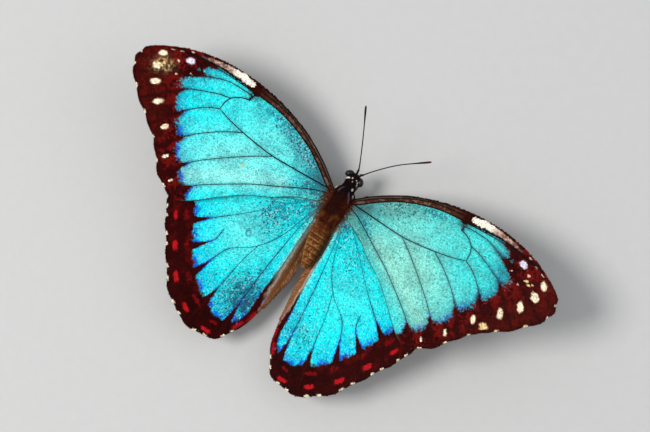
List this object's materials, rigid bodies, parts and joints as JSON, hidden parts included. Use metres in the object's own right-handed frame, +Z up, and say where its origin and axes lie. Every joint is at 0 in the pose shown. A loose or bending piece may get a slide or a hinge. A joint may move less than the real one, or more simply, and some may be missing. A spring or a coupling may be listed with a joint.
{
  "type": "blue morpho butterfly",
  "caption": "Life-size butterfly standing with its wings spread flat: iridescent blue wings with dark borders, slim furred body and long feelers.",
  "frame": {"origin": "bottom centre of the insect's box, on the surface it stands on", "axes": "-Y towards the head, +X towards the insect's own left wings, +Z up"},
  "size_m": [0.1284, 0.0728, 0.0213],
  "materials": {
    "wing_scales": "iridescent scales",
    "body_fur": "soft fur",
    "eye": "glossy",
    "cuticle": "satin chitin"
  },
  "bodies": {
    "root": {"head": "body_fur", "thorax": "body_fur", "abdomen": "body_fur", "eye_left": "eye", "eye_right": "eye", "palp_left": "body_fur", "palp_right": "body_fur", "antenna_left": "cuticle", "antenna_right": "cuticle", "forewing_left": "wing_scales", "forewing_right": "wing_scales", "hindwing_left": "wing_scales", "hindwing_right": "wing_scales", "foreleg_left": "cuticle", "foreleg_right": "cuticle", "midleg_left": "cuticle", "midleg_right": "cuticle", "hindleg_left": "cuticle", "hindleg_right": "cuticle"}
  },
  "joints": []
}
